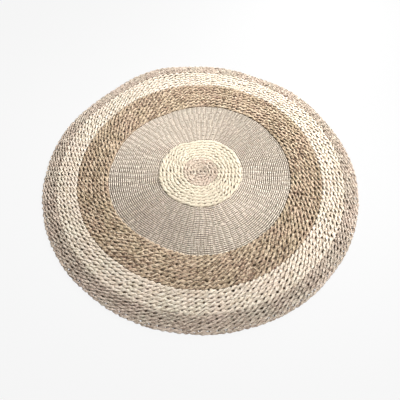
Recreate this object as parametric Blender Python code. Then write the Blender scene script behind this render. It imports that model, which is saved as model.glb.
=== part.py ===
"""Round seagrass rug, twined in one piece from the centre out.

Two strands of seagrass cross round every spoke, row after row, and the strands are changed
five times, which gives six bands. The spokes run on from band to band, so the rug is one solid.

Metres, +Z up. The origin is the middle of the underside, the rug lies flat at z = 0, and -Y is
its side nearest the viewer.
"""
import math
from collections import namedtuple

import bmesh
import bpy
import numpy as np

RUG_RADIUS = 0.600
STEPS_ROUND = 72

# Rim: the last row is rolled over the spokes' ends, so the edge is a half round.
RIM_ROLL = 0.0070
RIM_HEIGHT = 0.0145
RIM_ANGLES = (58, 20, -20, -58)

# The rug lifts a little off the floor at the back, just left of the middle.
LIFT_HEIGHT = 0.0080
LIFT_DIRECTION = 112
LIFT_SPREAD = 10
LIFT_STARTS = 0.500

# Rings across the fine band, whose rows are too flat to raise.
PLAIN_RINGS = 5

# A band ends at outer_radius. Its rows stand up to crest from a groove between them.
Band = namedtuple("Band", "name outer_radius rows crest groove srgb roughness")
BANDS = (
    Band("natural_centre", 0.067, 5, 0.0130, 0.0092, (0.80, 0.73, 0.65), 0.80),
    Band("cream_ring", 0.158, 7, 0.0138, 0.0094, (0.92, 0.87, 0.78), 0.78),
    Band("fine_band", 0.347, 0, 0.0088, 0.0088, (0.76, 0.70, 0.63), 0.85),
    Band("brown_band", 0.467, 8, 0.0160, 0.0106, (0.66, 0.57, 0.47), 0.80),
    Band("cream_band", 0.549, 6, 0.0170, 0.0114, (0.88, 0.82, 0.73), 0.78),
    Band("natural_border", RUG_RADIUS - RIM_ROLL, 4, 0.0158, 0.0112, (0.72, 0.65, 0.58), 0.80),
)

# No band is a true circle. Each swell moves one band's outer edge out by reach, and the next
# bands share it, in one direction (degrees from +X, counter-clockwise) and fades over spread.
Swell = namedtuple("Swell", "band direction spread reach")
SWELLS = (
    Swell("cream_ring", 45, 34, 0.0055),
    Swell("cream_ring", 98, 14, -0.0080),
    Swell("cream_ring", 195, 26, 0.0045),
    Swell("fine_band", 35, 28, 0.0050),
    Swell("fine_band", 118, 18, -0.0125),
    Swell("fine_band", 198, 22, 0.0100),
    Swell("fine_band", 240, 11, -0.0070),
    Swell("brown_band", 112, 18, 0.0055),
    Swell("brown_band", 200, 22, 0.0070),
    Swell("cream_band", 62, 9, -0.0060),
    Swell("cream_band", 113, 12, 0.0100),
    Swell("cream_band", 137, 9, -0.0075),
    Swell("natural_border", 28, 10, -0.0090),
    Swell("natural_border", 64, 9, -0.0115),
    Swell("natural_border", 112, 9, 0.0060),
    Swell("natural_border", 137, 9, -0.0105),
    Swell("natural_border", 262, 60, 0.0048),
    Swell("natural_border", 302, 26, 0.0034),
)


def clear_scene():
    """Remove what a new file holds."""
    for thing in list(bpy.data.objects):
        bpy.data.objects.remove(thing, do_unlink=True)


def smooth_step(value):
    """Ease from 0 to 1."""
    clamped = min(max(value, 0.0), 1.0)
    return clamped * clamped * (3.0 - 2.0 * clamped)


def bell(direction, centre, spread):
    """A bump of height 1 round the rug, centred on one direction."""
    away = (direction - centre + 180.0) % 360.0 - 180.0
    return math.exp(-0.5 * (away / spread) ** 2)


def edge_shift(band, direction):
    """How far a band's outer edge stands out of its circle in one direction."""
    own = [swell for swell in SWELLS if swell.band == band.name]
    return sum(swell.reach * bell(direction, swell.direction, swell.spread) for swell in own)


def band_profile(inner_radius, band):
    """Radius and height of the grooves and crests on a band's top, from its inner edge out."""
    width = band.outer_radius - inner_radius
    if not band.rows:
        shares = [ring / PLAIN_RINGS for ring in range(1, PLAIN_RINGS)]
        return [(inner_radius + share * width, band.crest) for share in shares]
    points = []
    pitch = width / band.rows
    for row in range(band.rows):
        if row:
            points.append((inner_radius + row * pitch, band.groove))
        points.append((inner_radius + (row + 0.5) * pitch, band.crest))
    return points


def rim_profile():
    """Half round of the rolled edge, from the top down to the floor."""
    half_height = 0.5 * RIM_HEIGHT
    centre_radius = RUG_RADIUS - RIM_ROLL
    points = []
    for degrees in RIM_ANGLES:
        angle = math.radians(degrees)
        radius = centre_radius + RIM_ROLL * math.cos(angle)
        points.append((radius, half_height * (1.0 + math.sin(angle))))
    return points


def rug_profile():
    """Half section of the rug: over the top from the centre, round the rim and back below."""
    points = []
    inner_radius = 0.0
    for band, following in zip(BANDS, BANDS[1:] + (None,)):
        if band is BANDS[0]:
            points.append((0.0, band.groove))
        points += band_profile(inner_radius, band)
        if following:
            points.append((band.outer_radius, min(band.groove, following.groove)))
        inner_radius = band.outer_radius
    points += rim_profile()
    points += [(band.outer_radius, 0.0) for band in reversed(BANDS)]
    return points


def spin_profile(mesh_builder, points):
    """Turn the half section once round +Z and close the underside with one flat face."""
    corners = [mesh_builder.verts.new((radius, 0.0, height)) for radius, height in points]
    edges = [mesh_builder.edges.new(pair) for pair in zip(corners, corners[1:])]
    bmesh.ops.spin(
        mesh_builder,
        geom=corners + edges,
        cent=(0.0, 0.0, 0.0),
        axis=(0.0, 0.0, 1.0),
        angle=math.tau,
        steps=STEPS_ROUND,
        use_merge=True,
    )
    bmesh.ops.remove_doubles(mesh_builder, verts=mesh_builder.verts[:], dist=0.00001)
    open_edges = [edge for edge in mesh_builder.edges if edge.is_boundary]
    bmesh.ops.contextual_create(mesh_builder, geom=open_edges)
    bmesh.ops.recalc_face_normals(mesh_builder, faces=mesh_builder.faces[:])


def make_uneven(mesh_builder):
    """Move the round form to the rug's own outline, band edges and lifted rim."""
    circles = [0.0] + [band.outer_radius for band in BANDS]
    for vertex in mesh_builder.verts:
        radius = math.hypot(vertex.co.x, vertex.co.y)
        if radius < BANDS[0].outer_radius:
            continue
        direction = math.degrees(math.atan2(vertex.co.y, vertex.co.x))
        shifts = [0.0] + [edge_shift(band, direction) for band in BANDS]
        stretch = 1.0 + np.interp(radius, circles, shifts) / radius
        vertex.co.x *= stretch
        vertex.co.y *= stretch
        outward = smooth_step((radius - LIFT_STARTS) / (RUG_RADIUS - LIFT_STARTS))
        vertex.co.z += LIFT_HEIGHT * outward * bell(direction, LIFT_DIRECTION, LIFT_SPREAD)


def linear(srgb):
    """Linear value of each channel of a screen colour."""
    return [((channel + 0.055) / 1.055) ** 2.4 for channel in srgb]


def seagrass(band):
    """Dry seagrass in the band's own colour."""
    material = bpy.data.materials.new(band.name)
    material.use_nodes = True
    shader = material.node_tree.nodes["Principled BSDF"]
    shader.inputs["Base Color"].default_value = (*linear(band.srgb), 1.0)
    shader.inputs["Roughness"].default_value = band.roughness
    shader.inputs["Metallic"].default_value = 0.0
    return material


def paint_bands(mesh_builder):
    """Give each face the material number of the band that it lies in, before the bands are bent."""
    for face in mesh_builder.faces:
        middle = face.calc_center_median()
        radius = math.hypot(middle.x, middle.y)
        inner_bands = [band for band in BANDS[:-1] if radius > band.outer_radius]
        face.material_index = len(inner_bands)


def make_rug():
    """The whole rug as one closed solid."""
    mesh_builder = bmesh.new()
    spin_profile(mesh_builder, rug_profile())
    paint_bands(mesh_builder)
    make_uneven(mesh_builder)
    mesh = bpy.data.meshes.new("rug")
    mesh_builder.to_mesh(mesh)
    mesh_builder.free()
    for band in BANDS:
        mesh.materials.append(seagrass(band))
    mesh.shade_smooth()
    rug = bpy.data.objects.new("rug", mesh)
    bpy.context.scene.collection.objects.link(rug)
    return rug


clear_scene()
make_rug()
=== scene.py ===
"""Round seagrass rug: twined strands over radial spokes, laid flat on a pale floor.

Every row is two strands that cross between the spokes, so each spoke has one stitch on top and
one below. Sizes are in metres, +Z up, -Y towards the viewer.
"""

import math
from collections import namedtuple

import bpy
import numpy as np
from bpy.props import FloatProperty, FloatVectorProperty, PointerProperty
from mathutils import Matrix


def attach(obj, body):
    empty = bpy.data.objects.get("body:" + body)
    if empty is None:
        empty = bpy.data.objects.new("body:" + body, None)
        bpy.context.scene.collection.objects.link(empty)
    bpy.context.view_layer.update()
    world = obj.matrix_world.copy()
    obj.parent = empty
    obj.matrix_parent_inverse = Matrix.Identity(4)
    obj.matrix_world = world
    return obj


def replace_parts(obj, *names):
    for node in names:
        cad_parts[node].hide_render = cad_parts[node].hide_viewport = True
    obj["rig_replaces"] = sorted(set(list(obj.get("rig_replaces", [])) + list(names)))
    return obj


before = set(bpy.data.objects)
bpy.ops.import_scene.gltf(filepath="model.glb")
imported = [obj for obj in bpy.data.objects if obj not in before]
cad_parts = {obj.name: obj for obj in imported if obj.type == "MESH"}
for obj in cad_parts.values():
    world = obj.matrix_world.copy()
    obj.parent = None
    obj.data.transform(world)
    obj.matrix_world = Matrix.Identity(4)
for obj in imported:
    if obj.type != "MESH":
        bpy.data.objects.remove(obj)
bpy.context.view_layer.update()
NODE = "rug"
BODY = "root"

bl_info = {
    "name": "Twined Seagrass Rug",
    "version": (1, 0, 0),
    "blender": (4, 5, 0),
    "location": "View3D > Sidebar > Rug",
    "description": "Weaves a round seagrass rug band by band, with its floor, light and camera",
    "category": "Add Mesh",
}

RUG_RADIUS = 0.600

# A band of weft. thick is its full thickness, rise how much thinner it starts at its inner edge,
# and fall how much thinner it ends, for the rolled rim. wide, narrow and lean are shares of a row:
# the strand over a spoke, the strand between spokes, and how far it leans out and in on the way.
# high is the strand's own height, and the more it hugs the top, the later it dives under. A strand
# has one or two plies of several blades each. A ply is modelled with so many sides, and with so
# many rings from one spoke to the next.
Band = namedtuple(
    "Band", "name inner outer rows thick rise fall high wide narrow lean hug plies blades sides rings")
BANDS = (
    Band("natural_centre", 0.003, 0.067, 5, 0.0124, 0.0, 0.0, 0.0076, 0.96, 0.80, 0.24, 1.7, 2, 5, 5, 5),
    Band("cream_ring", 0.067, 0.158, 7, 0.0130, 0.0, 0.0, 0.0084, 1.02, 0.82, 0.24, 1.7, 2, 5, 5, 5),
    Band("fine_band", 0.158, 0.347, 26, 0.0068, 0.0, 0.0, 0.0044, 0.47, 0.47, 0.17, 2.2, 1, 4, 6, 4),
    Band("brown_band", 0.347, 0.467, 8, 0.0170, 0.0062, 0.0, 0.0078, 0.92, 0.70, 0.30, 1.5, 2, 6, 5, 5),
    Band("cream_band", 0.467, 0.549, 6, 0.0172, 0.0, 0.0, 0.0082, 0.95, 0.74, 0.28, 1.5, 2, 6, 5, 5),
    Band("natural_border", 0.549, RUG_RADIUS, 5, 0.0168, 0.0, 0.0090, 0.0078, 0.90, 0.70, 0.30, 1.5,
         2, 6, 5, 5),
)

# More spokes are set in as the rug grows. Counts are even, so both strands close on themselves.
Spokes = namedtuple("Spokes", "start count")
SPOKES = (
    Spokes(0.000, 4),
    Spokes(0.013, 8),
    Spokes(0.027, 14),
    Spokes(0.040, 18),
    Spokes(0.053, 24),
    Spokes(0.067, 30),
    Spokes(0.106, 40),
    Spokes(0.157, 62),
    Spokes(0.240, 74),
    Spokes(0.276, 84),
    Spokes(0.312, 94),
    Spokes(0.346, 100),
    Spokes(0.392, 108),
    Spokes(0.437, 122),
    Spokes(0.466, 128),
    Spokes(0.508, 136),
    Spokes(0.548, 142),
)

# The rug's own unevenness, the same as the solid's. Each swell moves one band's outer edge out by
# reach in one direction (degrees from +X, counter-clockwise) and fades over spread.
Swell = namedtuple("Swell", "band direction spread reach")
SWELLS = (
    Swell("cream_ring", 45, 34, 0.0055),
    Swell("cream_ring", 98, 14, -0.0080),
    Swell("cream_ring", 195, 26, 0.0045),
    Swell("fine_band", 35, 28, 0.0050),
    Swell("fine_band", 118, 18, -0.0125),
    Swell("fine_band", 198, 22, 0.0100),
    Swell("fine_band", 240, 11, -0.0070),
    Swell("brown_band", 112, 18, 0.0055),
    Swell("brown_band", 200, 22, 0.0070),
    Swell("cream_band", 62, 9, -0.0060),
    Swell("cream_band", 113, 12, 0.0100),
    Swell("cream_band", 137, 9, -0.0075),
    Swell("natural_border", 28, 10, -0.0090),
    Swell("natural_border", 64, 9, -0.0115),
    Swell("natural_border", 112, 9, 0.0060),
    Swell("natural_border", 137, 9, -0.0105),
    Swell("natural_border", 262, 60, 0.0048),
    Swell("natural_border", 302, 26, 0.0034),
)
LIFT_HEIGHT = 0.0080
LIFT_DIRECTION = 112
LIFT_SPREAD = 10
LIFT_STARTS = 0.500

# Hand work: how far rows, spokes and heights wander, each from its own seed, in waves round the
# rug that slant by up to WANDER_SLANT radians a metre.
ROW_WANDER = 0.0012
SPOKE_WANDER = 0.0030
HEIGHT_WANDER = 0.0006
SPOKE_SEED = 3
ROW_SEED = 5
HEIGHT_SEED = 7
WANDER_WAVES = (3, 5, 8, 13, 21)
WANDER_SLANT = 45.0

# How much one stitch differs from the next: its place as a share of a row, its height and its
# width as shares of their own. No stitch is more than STITCH_LIMIT too high or too low.
STITCH_STRAY = 0.09
STITCH_HEIGHT = 0.20
STITCH_WIDTH = 0.15
STITCH_LIMIT = 0.3

# Two plies lie beside or on each other as they twist. Sizes are shares of the strand's. Turns and
# lumps are counted by the spoke, and the twist drifts ahead and back DRIFT_WAVES times a round.
PLY_WIDE = 0.60
PLY_HIGH = 0.66
PLY_TURNS = 0.8
PLY_DRIFT = 3.0
DRIFT_WAVES = 5.0
PLY_LUMPS = 0.08
LUMPS_AROUND = 3.0
LUMP_TURNS = 0.64

# Every ply has a number of its own, for its seed and its colours.
NUMBERS_A_BAND = 200
NUMBERS_A_ROW = 4

# A ply's way round fills its number's own stretch of the map, but for an edge at either end.
MAP_EDGE = 0.02

# The brown band rises steeply from the thin one inside it, and the border falls slowly.
RISE_POWER = 6
FALL_POWER = 2

GROUND_SIDES = 144
GROUND_THICK = 0.0012
GROUND_DROP = 0.0024
GROUND_MARGIN = 0.012
SPOKE_SIDES = 6
SPOKE_WIDE = 0.0044
SPOKE_HIGH = 0.0020
SPOKE_DROP = 0.0012
SPOKE_GAP = 0.0010
SPOKE_MARGIN = 0.006
HUB_RADIUS = 0.004
HUB_CALM = 0.02
WELD = 0.00002
FLOOR_GAP = 0.0003

# The stage. The key light is a soft spot on the right, and a near lamp over the back right makes
# the back paler and the front's stitches stand out, as a window behind the rug would.
FLOOR_SIZE = 30.0
FLOOR_PAINT = (0.05, 0.05, 0.05, 1.0)
FLOOR_ROUGHNESS = 0.95
FLOOR_GLOW = 0.88
WHITE = (1.0, 1.0, 1.0, 1.0)
KEY_PLACE = (2.80, -0.40, 2.80)
KEY_AIM = (0.19, 0.05, 0.0)
KEY_SIZE = 0.60
KEY_CONE = math.radians(22.0)
BACK_PLACE = (0.65, 1.05, 0.85)
BACK_SIZE = 0.20
CAMERA_PLACE = (0.015, -0.812, 1.191)
CAMERA_PITCH = math.radians(90.0 - 59.94)
CAMERA_TURN = 0.0197
SENSOR_WIDTH = 36.0
FOCAL_PIXELS = 366.95
IMAGE_PIXELS = 400


def linear(srgb):
    """Linear value of each channel of a screen colour."""
    return tuple(((channel + 0.055) / 1.055) ** 2.4 for channel in srgb)


def deselect():
    """Select nothing, in object mode."""
    if bpy.context.object and bpy.context.object.mode != "OBJECT":
        bpy.ops.object.mode_set(mode="OBJECT")
    bpy.ops.object.select_all(action="DESELECT")


def make_active(thing):
    """Select one object alone."""
    deselect()
    thing.select_set(True)
    bpy.context.view_layer.objects.active = thing


def apply_place(thing):
    """Put the object's place, turn and size into its mesh."""
    make_active(thing)
    bpy.ops.object.transform_apply(location=True, rotation=True, scale=True)


def copy_of(thing, name):
    """A copy with a mesh of its own."""
    twin = thing.copy()
    twin.data = thing.data.copy()
    twin.name = name
    bpy.context.collection.objects.link(twin)
    return twin


def join(things, name):
    """One object from many."""
    make_active(things[0])
    for thing in things:
        thing.select_set(True)
    bpy.ops.object.join()
    joined = bpy.context.object
    joined.name = name
    joined.data.name = name
    return joined


def read_points(mesh):
    """Vertex places as an array."""
    flat = np.empty(len(mesh.vertices) * 3)
    mesh.vertices.foreach_get("co", flat)
    return flat.reshape(-1, 3)


def write_points(mesh, points):
    """Move the vertices to new places."""
    mesh.vertices.foreach_set("co", np.asarray(points, float).ravel())
    mesh.update()


def close_up(thing):
    """Weld the open ends that meet and turn every face outwards."""
    make_active(thing)
    bpy.ops.object.mode_set(mode="EDIT")
    bpy.ops.mesh.select_mode(type="VERT")
    bpy.ops.mesh.select_all(action="DESELECT")
    bpy.ops.mesh.select_non_manifold()
    bpy.ops.mesh.remove_doubles(threshold=WELD)
    bpy.ops.mesh.select_all(action="SELECT")
    bpy.ops.mesh.normals_make_consistent(inside=False)
    bpy.ops.object.mode_set(mode="OBJECT")
    bpy.ops.object.shade_smooth()


def bell(degrees, centre, spread):
    """A bump of height 1 round the rug, centred on one direction."""
    away = (degrees - centre + 180.0) % 360.0 - 180.0
    return np.exp(-0.5 * (away / spread) ** 2)


def wander(radius, angle, seed):
    """Slow hand-made drift over the rug, from about -1 to 1, the same for neighbouring rows."""
    random = np.random.default_rng(seed)
    total = np.zeros_like(angle)
    for waves in WANDER_WAVES:
        across = random.uniform(-WANDER_SLANT, WANDER_SLANT)
        start = random.uniform(0.0, math.tau)
        total += np.sin(waves * angle + across * radius + start)
    return total / math.sqrt(len(WANDER_WAVES))


def lay_on_rug(radius, angle, height):
    """Turn radius, angle and height on a true round rug into places on this uneven one."""
    degrees = np.degrees(angle)
    circles = [0.0, BANDS[0].outer]
    shifts = [np.zeros_like(angle), np.zeros_like(angle)]
    for band in BANDS[1:]:
        own = [swell for swell in SWELLS if swell.band == band.name]
        circles.append(band.outer)
        shifts.append(sum(s.reach * bell(degrees, s.direction, s.spread) for s in own))
    shift = np.zeros_like(angle)
    for inner, outer, low, high in zip(circles, circles[1:], shifts, shifts[1:]):
        share = np.clip((radius - inner) / (outer - inner), 0.0, 1.0)
        inside = (radius >= inner) & ((radius < outer) | (outer == circles[-1]))
        shift = np.where(inside, low + share * (high - low), shift)
    grown = radius + shift
    outward = np.clip((radius - LIFT_STARTS) / (RUG_RADIUS - LIFT_STARTS), 0.0, 1.0)
    outward = outward * outward * (3.0 - 2.0 * outward)
    lifted = height + LIFT_HEIGHT * outward * bell(degrees, LIFT_DIRECTION, LIFT_SPREAD)
    lifted = np.maximum(lifted, FLOOR_GAP)
    return np.stack([grown * np.cos(angle), grown * np.sin(angle), lifted], axis=1)


def row_pitch(band):
    """Distance from one row to the next."""
    return (band.outer - band.inner) / band.rows


def spokes_at(radius):
    """How many spokes a row at this radius crosses."""
    return [step.count for step in SPOKES if step.start <= radius][-1]


def band_thickness(band, share):
    """Thickness of the rug a share of the way across a band."""
    return band.thick - band.rise * (1.0 - share) ** RISE_POWER - band.fall * share ** FALL_POWER


def thickness_at(radius):
    """The rug's thickness at each radius."""
    thick = np.full_like(radius, BANDS[0].thick)
    for band in BANDS[1:]:
        share = np.clip((radius - band.inner) / (band.outer - band.inner), 0.0, 1.0)
        thick = np.where(radius >= band.inner, band_thickness(band, share), thick)
    return thick


def strand_side(band, along):
    """How far the strand's middle leans out (plus) or in, along in spokes."""
    return -band.lean * row_pitch(band) * np.sin(math.pi * along)


def strand_rise(band, along):
    """Height of the strand's middle over the middle of the rug, along in spokes."""
    from_spoke = np.abs((np.asarray(along) + 1.0) % 2.0 - 1.0)
    return 0.5 * (band.thick - band.high) * np.cos(math.pi * from_spoke ** band.hug)


def strand_width(band, along):
    """The strand is flat over a spoke and drawn in between spokes."""
    drawn_in = np.sin(math.pi * along) ** 2
    return row_pitch(band) * (band.wide + (band.narrow - band.wide) * drawn_in)


def ply_size(band):
    """Width and height of one ply as shares of the strand's."""
    return (PLY_WIDE, PLY_HIGH) if band.plies == 2 else (1.0, 1.0)


def model_ply(band):
    """One ply over one spoke and under the next, drawn out along X at one unit a spoke."""
    ply_wide, ply_high = ply_size(band)
    bpy.ops.mesh.primitive_circle_add(
        vertices=band.sides, radius=0.5, fill_type="NOTHING", rotation=(0.0, math.pi / 2, 0.0)
    )
    strand = bpy.context.object
    strand.name = band.name + "_strand"
    apply_place(strand)
    bpy.ops.object.mode_set(mode="EDIT")
    bpy.ops.mesh.select_all(action="SELECT")
    size = (1.0, strand_width(band, 0.0) * ply_wide, band.high * ply_high)
    bpy.ops.transform.resize(value=size, center_override=(0.0, 0.0, 0.0))
    bpy.ops.transform.translate(value=(0.0, strand_side(band, 0.0), strand_rise(band, 0.0)))
    step = 1.0 / band.rings
    for ring in range(2 * band.rings):
        here = ring * step
        there = here + step
        move = (
            step,
            strand_side(band, there) - strand_side(band, here),
            strand_rise(band, there) - strand_rise(band, here),
        )
        bpy.ops.mesh.extrude_region_move(TRANSFORM_OT_translate={"value": move})
        bpy.ops.transform.resize(
            value=(1.0, strand_width(band, there) / strand_width(band, here), 1.0),
            center_override=(there, strand_side(band, there), strand_rise(band, there)),
        )
    bpy.ops.object.mode_set(mode="OBJECT")
    return strand


def repeat_along(strand, count):
    """Carry the ply on along X for a whole turn of the rug."""
    make_active(strand)
    array = strand.modifiers.new("repeat", "ARRAY")
    array.use_relative_offset = False
    array.use_constant_offset = True
    array.constant_offset_displace = (2.0, 0.0, 0.0)
    array.count = count
    array.use_merge_vertices = True
    array.merge_threshold = WELD
    bpy.ops.object.modifier_apply(modifier=array.name)


def map_strand(strand, band, number):
    """UV map: across counts stitches along the ply, and up goes once round it.

    The whole part of up is the ply's number, so that no two plies look alike.
    """
    ply_wide, ply_high = ply_size(band)
    mesh = strand.data
    points = read_points(mesh)
    corners = np.empty(len(mesh.loops), int)
    mesh.loops.foreach_get("vertex_index", corners)
    along = points[:, 0]
    sideways = (points[:, 1] - strand_side(band, along)) / strand_width(band, along) / ply_wide
    upwards = (points[:, 2] - strand_rise(band, along)) / band.high / ply_high
    turn = np.arctan2(sideways, -upwards) / math.tau % 1.0
    around = np.rint(turn * band.sides) % band.sides / band.sides
    around = around[corners].reshape(-1, 4)
    crosses_seam = np.ptp(around, axis=1, keepdims=True) > 0.5
    around = np.where(crosses_seam & (around < 0.5), around + 1.0, around).ravel()
    up = number + MAP_EDGE + (1.0 - 2.0 * MAP_EDGE) * around
    layer = mesh.uv_layers.new(name=STRAND_MAP)
    layer.data.foreach_set("uv", np.stack([along[corners], up], axis=1).ravel())


def ply_offset(band, along, count, ply, random):
    """Where the ply's middle lies in its strand, sideways and upwards, as it twists."""
    if band.plies == 1:
        return 0.0, 0.0
    turns = round(PLY_TURNS * count)
    around_rug = math.tau * along / count
    drift = PLY_DRIFT * np.sin(DRIFT_WAVES * around_rug + random.uniform(0.0, math.tau))
    phase = turns * around_rug + math.pi * ply + drift + random.uniform(0.0, math.tau)
    sideways = 0.5 * (1.0 - PLY_WIDE) * strand_width(band, along) * np.cos(phase)
    upwards = 0.5 * (1.0 - PLY_HIGH) * band.high * np.sin(phase)
    return sideways, upwards


def lay_strand(strand, band, row, start, ply, number):
    """Take the straight ply round the rug as part of one strand of one row."""
    share = (row + 0.5) / band.rows
    row_radius = band.inner + share * (band.outer - band.inner)
    count = spokes_at(row_radius)
    random = np.random.default_rng(number - ply)
    stray = random.normal(0.0, STITCH_STRAY * row_pitch(band), count)
    taller = random.normal(0.0, STITCH_HEIGHT, count)
    wider = random.normal(0.0, STITCH_WIDTH, count)

    points = read_points(strand.data)
    along = points[:, 0]
    stitch = np.rint(along).astype(int) % count
    over_spoke = np.cos(math.pi * (along - np.rint(along))) ** 2
    side = strand_side(band, along)
    rise = strand_rise(band, along)
    aside, above = ply_offset(band, along, count, ply, random)
    turn = np.arctan2(points[:, 2] - rise, points[:, 1] - side)
    lump_turns = math.tau * round(LUMP_TURNS * count) * along / count
    lumps = 1.0 + PLY_LUMPS * np.sin(LUMPS_AROUND * turn + lump_turns + number)
    width = ((points[:, 1] - side) * lumps + aside) * (1.0 + wider[stitch] * over_spoke)
    sideways = side + width + stray[stitch] * over_spoke
    thinner = band_thickness(band, share) / band.thick
    taller_here = 1.0 + np.clip(taller[stitch], -STITCH_LIMIT, STITCH_LIMIT) * over_spoke
    upwards = (rise * taller_here + (points[:, 2] - rise) * lumps + above) * thinner

    angle = math.tau * (along + start) / count
    angle = angle + SPOKE_WANDER * wander(row_radius, angle, SPOKE_SEED) / row_radius
    radius = row_radius + sideways + ROW_WANDER * wander(row_radius, angle, ROW_SEED)
    middle = 0.5 * band.thick * thinner
    rolling = HEIGHT_WANDER * (1.0 + wander(row_radius, angle, HEIGHT_SEED))
    write_points(strand.data, lay_on_rug(radius, angle, middle + upwards + rolling))


def weave_rows(band, rows, name, first_number):
    """All plies of both strands of several rows, joined as one piece."""
    pattern = model_ply(band)
    plies = []
    for row in rows:
        count = spokes_at(band.inner + (row + 0.5) * row_pitch(band))
        for start in (0, 1):
            for ply in range(band.plies):
                number = first_number + NUMBERS_A_ROW * row + 2 * start + ply
                strand = copy_of(pattern, "ply")
                repeat_along(strand, count // 2)
                map_strand(strand, band, number)
                lay_strand(strand, band, row, start, ply, number)
                plies.append(strand)
    bpy.data.objects.remove(pattern, do_unlink=True)
    piece = join(plies, name)
    close_up(piece)
    return piece


class Signal:
    """A node's output, with the operators that the shader's sums need."""

    def __init__(self, tree, socket):
        self.tree = tree
        self.socket = socket

    def _math(self, operation, first, second=0.0):
        node = self.tree.nodes.new("ShaderNodeMath")
        node.operation = operation
        for socket, value in zip(node.inputs, (first, second)):
            plug(self.tree, socket, value)
        return Signal(self.tree, node.outputs[0])

    def __add__(self, other):
        return self._math("ADD", self, other)

    __radd__ = __add__

    def __sub__(self, other):
        return self._math("SUBTRACT", self, other)

    def __rsub__(self, other):
        return self._math("SUBTRACT", other, self)

    def __mul__(self, other):
        return self._math("MULTIPLY", self, other)

    __rmul__ = __mul__

    def floor(self):
        """Whole part."""
        return self._math("FLOOR", self)

    def fraction(self):
        """What is left after the whole part."""
        return self._math("FRACT", self)

    def size(self):
        """The value without its sign."""
        return self._math("ABSOLUTE", self)


def plug(tree, socket, value):
    """Link a signal to a socket, or set the socket's own value."""
    if isinstance(value, Signal):
        tree.links.new(value.socket, socket)
    else:
        socket.default_value = value


class Finish:
    """One material and the nodes in it."""

    def __init__(self, name):
        self.material = bpy.data.materials.new(name)
        self.material.use_nodes = True
        self.tree = self.material.node_tree
        self.shader = self.tree.nodes["Principled BSDF"]

    def node(self, kind, output, settings=None, **sockets):
        """Any node: its settings first, then what its sockets hold. Returns one output."""
        node = self.tree.nodes.new(kind)
        for key, value in (settings or {}).items():
            setattr(node, key, value)
        for key, value in sockets.items():
            plug(self.tree, node.inputs[key.replace("_", " ")], value)
        return Signal(self.tree, node.outputs[output])

    def vector(self, x, y, z):
        """Three numbers as one vector."""
        return self.node("ShaderNodeCombineXYZ", "Vector", X=x, Y=y, Z=z)

    def paint(self, below, srgb, factor):
        """A screen colour over another colour."""
        settings = {"data_type": "RGBA"}
        above = (*linear(srgb), 1.0)
        return self.node("ShaderNodeMix", "Result", settings, Factor=factor, A=below, B=above)

    def strand_map(self):
        """How far along the strand in stitches, and the strand's number with its way round."""
        place = self.node("ShaderNodeUVMap", "UV", {"uv_map": STRAND_MAP})
        along = self.node("ShaderNodeSeparateXYZ", "X", Vector=place)
        up = self.node("ShaderNodeSeparateXYZ", "Y", Vector=place)
        return along, up

    def white_noise(self, vector):
        """A number from 0 to 1 for each whole place."""
        return self.node("ShaderNodeTexWhiteNoise", "Value", Vector=vector)

    def spread(self, value, span):
        """Go from 0 at the span's first value to 1 at its second, with soft ends."""
        settings = {"interpolation_type": "SMOOTHSTEP"}
        sockets = {"Value": value, "From_Min": span[0], "From_Max": span[1]}
        return self.node("ShaderNodeMapRange", "Result", settings, **sockets)

    def noise(self, vector, scale, detail):
        """Cloudy noise, mostly from 0.3 to 0.7."""
        sockets = {"Vector": vector, "Scale": scale, "Detail": detail}
        return self.node("ShaderNodeTexNoise", "Fac", **sockets)

    def grain(self, grain, along, blade, ply):
        """Noise that is drawn out along the strand and differs by blade and ply."""
        place = self.vector(along * grain.waves, blade * grain.blade_step, ply * grain.ply_step)
        return self.noise(place, 1.0, grain.detail)

    def set(self, **sockets):
        """Set or link the shader's own sockets."""
        for key, value in sockets.items():
            plug(self.tree, self.shader.inputs[key.replace("_", " ")], value)


# Blade colours of a band, as screen colours. stem is the usual one, pale and deep are the
# lightest and darkest blades, warm and cool tints come in patches, and line is the colour of
# painted shade between two blades, on a strand's flanks and where it dips between spokes. patchy
# says how strong the tints are, mixed how much one blade differs from the next, and drawn how
# strongly that painted shade darkens the strand where it is drawn in between two spokes.
Dye = namedtuple("Dye", "band stem pale deep warm cool line patchy mixed drawn")
DYES = (
    Dye("natural_centre", (0.79, 0.72, 0.645), (0.87, 0.82, 0.76), (0.65, 0.57, 0.49),
        (0.81, 0.71, 0.65), (0.77, 0.73, 0.65), (0.50, 0.42, 0.34), 0.4, 1.6, 0.0),
    Dye("cream_ring", (0.83, 0.785, 0.70), (0.87, 0.84, 0.77), (0.74, 0.68, 0.59),
        (0.84, 0.77, 0.68), (0.81, 0.785, 0.70), (0.64, 0.57, 0.47), 0.3, 0.9, 0.0),
    Dye("fine_band", (0.87, 0.82, 0.755), (0.93, 0.885, 0.82), (0.77, 0.71, 0.63),
        (0.86, 0.79, 0.73), (0.82, 0.79, 0.72), (0.50, 0.445, 0.38), 0.35, 1.2, 0.65),
    Dye("brown_band", (0.77, 0.675, 0.56), (0.89, 0.81, 0.70), (0.40, 0.30, 0.21),
        (0.74, 0.60, 0.53), (0.66, 0.60, 0.46), (0.28, 0.19, 0.13), 0.35, 3.8, 0.0),
    Dye("cream_band", (0.93, 0.873, 0.80), (0.97, 0.94, 0.88), (0.76, 0.69, 0.59),
        (0.95, 0.87, 0.81), (0.91, 0.90, 0.81), (0.70, 0.60, 0.49), 0.4, 2.6, 0.0),
    Dye("natural_border", (0.84, 0.765, 0.69), (0.92, 0.86, 0.79), (0.52, 0.44, 0.37),
        (0.86, 0.76, 0.71), (0.78, 0.77, 0.69), (0.44, 0.36, 0.30), 0.35, 3.4, 0.0),
)

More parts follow.
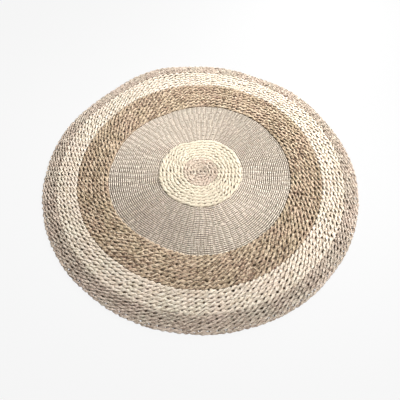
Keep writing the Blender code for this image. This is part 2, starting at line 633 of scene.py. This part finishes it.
# Noise drawn out along a strand: waves a stitch, and the steps from one blade and one ply to the
# next, which only have to be large and uneven.
Grain = namedtuple("Grain", "waves blade_step ply_step detail")
STEM_GRAIN = Grain(0.35, 5.3, 2.0, 1.0)
BLADE_GRAIN = Grain(1.8, 3.7, 7.1, 1.0)
STREAK_GRAIN = Grain(3.0, 5.0, 3.1, 3.0)
TINT_GRAIN = Grain(0.5, 5.1, 2.3, 1.0)
PATCH_SCALE = 14.0
CLOUD_DETAIL = 2.0

# Blades turn round the strand by BLADE_TURN a stitch. Each span runs from where a colour is not
# seen to where it is full. Tone is 0 for the stem's own colour, and the others are tones too or
# shares of a blade, a ply's way round or a stitch. The spans for blade edges, flanks and the dip
# between spokes, with the edge and flank shades below, paint shade into the colour: in the grooves
# between blades, on a ply's flanks and where a strand dips between two spokes. The blade-edge span
# also shapes the grooves' relief.
STRAND_MAP = "strand"
BLADE_TURN = 0.72
PALE_SPAN = (0.0, 0.7)
DEEP_SPAN = (-0.05, -0.75)
WARM_SPAN = (0.50, 0.75)
COOL_SPAN = (0.48, 0.25)
EDGE_SPAN = (0.30, 0.50)
FLANK_SHADE_SPAN = (0.10, 0.34)
DIP_SHADE_SPAN = (0.26, 0.04)
CLOUD_SPAN = (0.35, 0.65)
STITCH_TONE = 0.2
STREAK_TONE = 0.4
BLADE_TINT = 0.8
EDGE_SHADE = 0.85
FLANK_SHADE = 0.72

# Dry seagrass is dull with a faint sheen, and rougher where its streaks are raised.
STREAK_RELIEF = 0.35
RELIEF_DEPTH = 0.0014
RELIEF_STRENGTH = 0.9
STEM_ROUGHNESS = 0.58
STREAK_ROUGHNESS = 0.3
STEM_SHEEN = 0.10
STEM_SPECULAR = 0.35

# The cords and the inner sheet behind the rows are painted in shade: their colours are far darker than
# the stems, for the shade between the rows. Clouds is the noise's scale.
Hidden = namedtuple("Hidden", "piece deep pale clouds roughness")
SHADED_GROUND = Hidden("ground", (0.20, 0.15, 0.11), (0.33, 0.27, 0.20), 220.0, 0.9)
SHADED_SPOKES = Hidden("spokes", (0.28, 0.22, 0.17), (0.42, 0.35, 0.28), 300.0, 0.85)


def seagrass(dye, stem, blades):
    """Bundles of dry seagrass: blades that differ, lying side by side, with painted shade in the grooves
    between them, on the flanks and between the spokes.
    """
    finish = Finish(dye.band)
    along, up = finish.strand_map()
    number = up.floor()
    around = (up.fraction() + along * BLADE_TURN) * float(blades)
    blade = around.floor()
    across_blade = around.fraction()
    stitch = (along + 0.5).floor()

    stem_tone = finish.grain(STEM_GRAIN, along, number, 1.0)
    blade_tone = finish.grain(BLADE_GRAIN, along, blade, number)
    stitch_tone = finish.white_noise(finish.vector(stitch, number, 0.0))
    streaks = finish.grain(STREAK_GRAIN, along, around, number)
    # Masks for painted shade: the grooves between blades (edge, also cut into the relief), the flanks of
    # each ply, and the strand's dip between two spokes.
    edge = finish.spread((across_blade - 0.5).size(), EDGE_SPAN)
    painted_flank_shade = finish.spread((up.fraction() - 0.5).size(), FLANK_SHADE_SPAN)
    between = finish.spread((along.fraction() - 0.5).size(), DIP_SHADE_SPAN)

    tone = (stem_tone - 0.5) + (blade_tone - 0.5) * dye.mixed
    tone = tone + (stitch_tone - 0.5) * (STITCH_TONE * dye.mixed)
    tone = tone + (streaks - 0.5) * (STREAK_TONE * dye.mixed)
    colour = finish.paint((*linear(stem), 1.0), dye.pale, finish.spread(tone, PALE_SPAN))
    colour = finish.paint(colour, dye.deep, finish.spread(tone, DEEP_SPAN))

    place = finish.node("ShaderNodeTexCoord", "Object")
    patches = finish.noise(place, PATCH_SCALE, CLOUD_DETAIL)
    tint = patches + (finish.grain(TINT_GRAIN, along, blade, number) - 0.5) * BLADE_TINT
    colour = finish.paint(colour, dye.warm, finish.spread(tint, WARM_SPAN) * dye.patchy)
    colour = finish.paint(colour, dye.cool, finish.spread(tint, COOL_SPAN) * dye.patchy)
    # Painted shade in the grooves between blades.
    colour = finish.paint(colour, dye.line, edge * EDGE_SHADE)
    # Painted shade on the flanks of each ply, darker away from its top.
    colour = finish.paint(colour, dye.line, painted_flank_shade * FLANK_SHADE)
    # Painted shade where the strand dips between two spokes.
    colour = finish.paint(colour, dye.line, between * dye.drawn)

    relief = {"Height": streaks * STREAK_RELIEF - edge, "Distance": RELIEF_DEPTH}
    bump = finish.node("ShaderNodeBump", "Normal", Strength=RELIEF_STRENGTH, **relief)
    roughness = STEM_ROUGHNESS + STREAK_ROUGHNESS * streaks
    finish.set(Base_Color=colour, Normal=bump, Roughness=roughness)
    finish.set(Sheen_Weight=STEM_SHEEN, Specular_IOR_Level=STEM_SPECULAR)
    return finish.material


def shaded_finish(hidden):
    """Cord or inner sheet with painted shade, seen only through the gaps between the rows."""
    finish = Finish(hidden.piece)
    place = finish.node("ShaderNodeTexCoord", "Object")
    clouds = finish.spread(finish.noise(place, hidden.clouds, CLOUD_DETAIL), CLOUD_SPAN)
    colour = finish.paint((*linear(hidden.deep), 1.0), hidden.pale, clouds)
    finish.set(Base_Color=colour, Roughness=hidden.roughness)
    return finish.material


def own(piece, material, slot):
    """Give a finished piece its material and its body, and let it stand in for the imported rug."""
    piece.data.materials.clear()
    piece.data.materials.append(material)
    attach(piece, BODY)
    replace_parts(piece, NODE)


def stem_colour(label, place, dye):
    """A colour setting for one band's stems."""
    return FloatVectorProperty(
        name=label, description="Stem colour of the " + place, subtype="COLOR_GAMMA", size=3,
        min=0.0, max=1.0, default=dye.stem)


class RugSettings(bpy.types.PropertyGroup):
    """Stem colours and light that a user would change."""

    natural_centre: stem_colour("Centre", "middle disc", DYES[0])
    cream_ring: stem_colour("Cream ring", "ring round the middle", DYES[1])
    fine_band: stem_colour("Fine band", "finely twined band", DYES[2])
    brown_band: stem_colour("Brown band", "coarse brown band", DYES[3])
    cream_band: stem_colour("Cream band", "coarse cream band", DYES[4])
    natural_border: stem_colour("Border", "border and the rolled rim", DYES[5])
    key_power: FloatProperty(
        name="Key light", description="Strength of the soft light on the right",
        subtype="POWER", min=0.0, default=1780.0)
    back_power: FloatProperty(
        name="Back light", description="Strength of the near lamp over the back right",
        subtype="POWER", min=0.0, default=68.0)
    room_light: FloatProperty(
        name="Room light", description="Strength of the even light from all round",
        min=0.0, default=0.50)


class BandWeaver:
    """What the operators of the six bands share."""

    bl_options = {"REGISTER", "UNDO"}
    band_name = ""
    parts = 1

    def execute(self, context):
        """Weave the band, in one piece or in several rings of rows."""
        index = [band.name for band in BANDS].index(self.band_name)
        band = BANDS[index]
        stem = getattr(context.scene.rug_settings, band.name)
        material = seagrass(DYES[index], stem, band.blades)
        rows = np.array_split(np.arange(band.rows), self.parts)
        for part, own_rows in enumerate(rows):
            name = band.name if self.parts == 1 else f"{band.name}_{part + 1}"
            piece = weave_rows(band, own_rows, name, NUMBERS_A_BAND * (index + 1))
            own(piece, material, band.name)
        return {"FINISHED"}


class RUG_OT_natural_centre(BandWeaver, bpy.types.Operator):
    """Weave the greige centre"""

    bl_idname = "rug.natural_centre"
    bl_label = "Weave Centre"
    band_name = "natural_centre"


class RUG_OT_cream_ring(BandWeaver, bpy.types.Operator):
    """Weave the cream ring round the centre"""

    bl_idname = "rug.cream_ring"
    bl_label = "Weave Cream Ring"
    band_name = "cream_ring"


class RUG_OT_fine_band(BandWeaver, bpy.types.Operator):
    """Weave the wide band of fine rows"""

    bl_idname = "rug.fine_band"
    bl_label = "Weave Fine Band"
    band_name = "fine_band"
    parts = 2


class RUG_OT_brown_band(BandWeaver, bpy.types.Operator):
    """Weave the coarse brown band"""

    bl_idname = "rug.brown_band"
    bl_label = "Weave Brown Band"
    band_name = "brown_band"


class RUG_OT_cream_band(BandWeaver, bpy.types.Operator):
    """Weave the coarse cream band"""

    bl_idname = "rug.cream_band"
    bl_label = "Weave Cream Band"
    band_name = "cream_band"


class RUG_OT_natural_border(BandWeaver, bpy.types.Operator):
    """Weave the greige border up to the rolled rim"""

    bl_idname = "rug.natural_border"
    bl_label = "Weave Border"
    band_name = "natural_border"


class RUG_OT_spokes(bpy.types.Operator):
    """Set the radial spokes that the rows cross"""

    bl_idname = "rug.spokes"
    bl_label = "Set Spokes"
    bl_options = {"REGISTER", "UNDO"}

    def execute(self, context):
        """One cord for each spoke of each stretch, spun round the middle."""
        ends = [step.start for step in SPOKES[1:]] + [RUG_RADIUS - SPOKE_MARGIN]
        groups = []
        for step, end in zip(SPOKES, ends):
            length = end - SPOKE_GAP - max(step.start, HUB_RADIUS)
            deselect()
            bpy.ops.mesh.primitive_cylinder_add(
                vertices=SPOKE_SIDES, radius=0.5, depth=length, rotation=(0.0, math.pi / 2, 0.0),
                location=(end - SPOKE_GAP - 0.5 * length, 0.0, 0.0))
            spoke = bpy.context.object
            spoke.scale = (SPOKE_HIGH, SPOKE_WIDE, 1.0)
            apply_place(spoke)
            bpy.ops.object.mode_set(mode="EDIT")
            bpy.ops.mesh.select_all(action="SELECT")
            bpy.ops.mesh.subdivide(number_cuts=1)
            bpy.ops.mesh.spin(
                steps=step.count - 1, dupli=True, center=(0.0, 0.0, 0.0), axis=(0.0, 0.0, 1.0),
                angle=math.tau * (step.count - 1) / step.count)
            bpy.ops.object.mode_set(mode="OBJECT")
            groups.append(spoke)
        spokes = join(groups, "spokes")
        points = read_points(spokes.data)
        radius = np.hypot(points[:, 0], points[:, 1])
        angle = np.arctan2(points[:, 1], points[:, 0])
        drift = SPOKE_WANDER * wander(radius, angle, SPOKE_SEED)
        angle = angle + drift / np.maximum(radius, HUB_CALM)
        middle = 0.5 * thickness_at(radius) - SPOKE_DROP
        write_points(spokes.data, lay_on_rug(radius, angle, middle + points[:, 2]))
        close_up(spokes)
        own(spokes, shaded_finish(SHADED_SPOKES), "natural_border")
        return {"FINISHED"}


class RUG_OT_ground(bpy.types.Operator):
    """Lay the thin dark inner sheet that closes the gaps between the rows, as painted shade"""

    bl_idname = "rug.ground"
    bl_label = "Lay Ground"
    bl_options = {"REGISTER", "UNDO"}

    def execute(self, context):
        """A round sheet, drawn in ring by ring and given its thickness."""
        deselect()
        rim = RUG_RADIUS - GROUND_MARGIN
        bpy.ops.mesh.primitive_circle_add(vertices=GROUND_SIDES, radius=rim, fill_type="NGON")
        ground = bpy.context.object
        ground.name = "ground"
        apply_place(ground)
        bpy.ops.object.mode_set(mode="EDIT")
        bpy.ops.mesh.select_all(action="SELECT")
        edges = [band.outer for band in BANDS[:-1]][::-1]
        width = rim
        for edge in edges:
            for target in (0.5 * (width + edge), edge):
                bpy.ops.mesh.inset(thickness=width - target)
                width = target
        bpy.ops.object.mode_set(mode="OBJECT")
        points = read_points(ground.data)
        radius = np.hypot(points[:, 0], points[:, 1])
        angle = np.arctan2(points[:, 1], points[:, 0])
        height = 0.5 * thickness_at(radius) - 0.5 * GROUND_THICK - GROUND_DROP
        write_points(ground.data, lay_on_rug(radius, angle, height))
        wall = ground.modifiers.new("wall", "SOLIDIFY")
        wall.thickness = GROUND_THICK
        wall.offset = 1.0
        make_active(ground)
        bpy.ops.object.modifier_apply(modifier=wall.name)
        close_up(ground)
        own(ground, shaded_finish(SHADED_GROUND), "fine_band")
        return {"FINISHED"}


class RUG_OT_stage(bpy.types.Operator):
    """Set the floor, the light and the camera"""

    bl_idname = "rug.stage"
    bl_label = "Set Stage"
    bl_options = {"REGISTER", "UNDO"}

    def execute(self, context):
        """Pale floor, soft light on the right and at the back, camera above the front rim."""
        settings = context.scene.rug_settings
        deselect()
        bpy.ops.mesh.primitive_plane_add(size=FLOOR_SIZE)
        floor = bpy.context.object
        floor.name = "floor"
        finish = Finish("floor")
        finish.set(Base_Color=FLOOR_PAINT, Roughness=FLOOR_ROUGHNESS, Specular_IOR_Level=0.0)
        finish.set(Emission_Color=WHITE, Emission_Strength=FLOOR_GLOW)
        floor.data.materials.append(finish.material)

        deselect()
        bpy.ops.object.light_add(type="SPOT", location=KEY_PLACE)
        key = bpy.context.object
        key.name = "key"
        key.data.shadow_soft_size = KEY_SIZE
        key.data.spot_size = KEY_CONE
        key.data.spot_blend = 1.0
        key.data.energy = settings.key_power
        aim = np.array(KEY_PLACE) - np.array(KEY_AIM)
        key.rotation_euler = (
            math.acos(aim[2] / np.linalg.norm(aim)), 0.0, math.atan2(aim[0], -aim[1]))

        bpy.ops.object.light_add(type="POINT", location=BACK_PLACE)
        back = bpy.context.object
        back.name = "back"
        back.data.shadow_soft_size = BACK_SIZE
        back.data.energy = settings.back_power

        world = bpy.data.worlds.new("room")
        world.use_nodes = True
        background = world.node_tree.nodes["Background"]
        background.inputs["Color"].default_value = WHITE
        background.inputs["Strength"].default_value = settings.room_light
        context.scene.world = world
        context.scene.view_settings.view_transform = "Standard"

        bpy.ops.object.camera_add(
            location=CAMERA_PLACE, rotation=(CAMERA_PITCH, 0.0, CAMERA_TURN))
        camera = bpy.context.object
        camera.name = "camera"
        camera.data.sensor_width = SENSOR_WIDTH
        camera.data.lens = FOCAL_PIXELS / IMAGE_PIXELS * SENSOR_WIDTH
        context.scene.camera = camera
        return {"FINISHED"}


class RUG_PT_panel(bpy.types.Panel):
    """The rug's settings and steps"""

    bl_idname = "RUG_PT_panel"
    bl_label = "Seagrass Rug"
    bl_space_type = "VIEW_3D"
    bl_region_type = "UI"
    bl_category = "Rug"

    def draw(self, context):
        """List the settings, then the steps in order."""
        settings = context.scene.rug_settings
        for name in settings.bl_rna.properties.keys():
            if name not in ("rna_type", "name"):
                self.layout.prop(settings, name)
        for step in STEPS:
            self.layout.operator(step.bl_idname)


STEPS = (
    RUG_OT_ground,
    RUG_OT_spokes,
    RUG_OT_natural_centre,
    RUG_OT_cream_ring,
    RUG_OT_fine_band,
    RUG_OT_brown_band,
    RUG_OT_cream_band,
    RUG_OT_natural_border,
    RUG_OT_stage,
)
CLASSES = (RugSettings, *STEPS, RUG_PT_panel)


def register():
    """Add the classes and the settings."""
    for each in CLASSES:
        bpy.utils.register_class(each)
    bpy.types.Scene.rug_settings = PointerProperty(type=RugSettings)


def unregister():
    """Take the settings and the classes away."""
    del bpy.types.Scene.rug_settings
    for each in reversed(CLASSES):
        bpy.utils.unregister_class(each)


def main():
    register()
    deselect()
    for step in STEPS:
        group, action = step.bl_idname.split(".")
        getattr(getattr(bpy.ops, group), action)()


if __name__ == "__main__":
    main()
